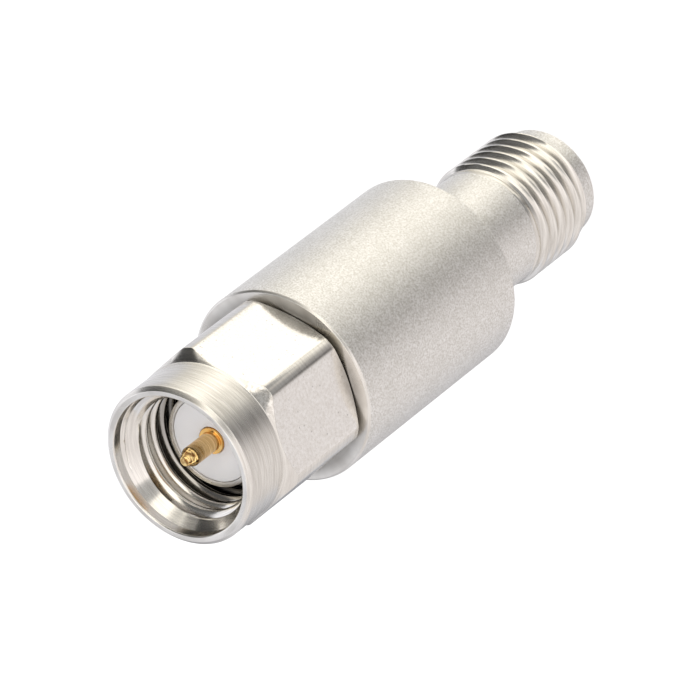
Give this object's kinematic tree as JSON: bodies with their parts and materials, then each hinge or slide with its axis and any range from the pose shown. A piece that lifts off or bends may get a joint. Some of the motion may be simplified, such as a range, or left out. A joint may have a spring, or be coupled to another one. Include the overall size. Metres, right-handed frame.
{
  "type": "rf attenuator",
  "caption": "Coaxial fixed attenuator: a plug with a hexagon coupling nut, a cylindrical metal body and a threaded jack in one line, with the resistive card inside.",
  "frame": {"origin": "centre of the jack's end face, on which the part stands", "axes": "+Z along the connector axis from the jack to the plug; +X through a corner of the coupling nut's hexagon, +Y through the middle of one of its flats"},
  "size_m": [0.0094, 0.0094, 0.0301],
  "materials": {
    "blasted_steel": "fine bead blast, satin",
    "turned_steel": "turned and milled, bright, with fine tool lines",
    "spring_bronze": "plain spring strip",
    "gold_plate": "bright gold plate",
    "brass": "turned",
    "ptfe": "smooth, waxy",
    "alumina": "fired ceramic",
    "resistive_film": "printed film",
    "silver_film": "printed metal film"
  },
  "bodies": {
    "attenuator_body": {"housing": "blasted_steel", "plug_shell": "turned_steel", "plug_insulator": "ptfe", "plug_pin": "gold_plate", "jack_insulator": "ptfe", "jack_socket": "gold_plate", "carrier_lower": "brass", "carrier_upper": "brass", "attenuator_card": "alumina", "resistor_film": "resistive_film", "plug_track": "silver_film", "jack_track": "silver_film", "ground_strip_left": "silver_film", "ground_strip_right": "silver_film", "plug_tab": "gold_plate", "jack_tab": "gold_plate"},
    "retaining_ring": {"retaining_ring": "spring_bronze"},
    "coupling_nut": {"coupling_nut": "turned_steel"}
  },
  "joints": [
    {"name": "nut_float", "type": "slide", "parent": "attenuator_body", "child": "retaining_ring", "axis": [0, 0, 1], "range_m": [0, 0.00025]},
    {"name": "nut_spin", "type": "hinge", "parent": "retaining_ring", "child": "coupling_nut", "pos_m": [0, 0, 0.026], "axis": [0, 0, 1], "continuous": true}
  ]
}
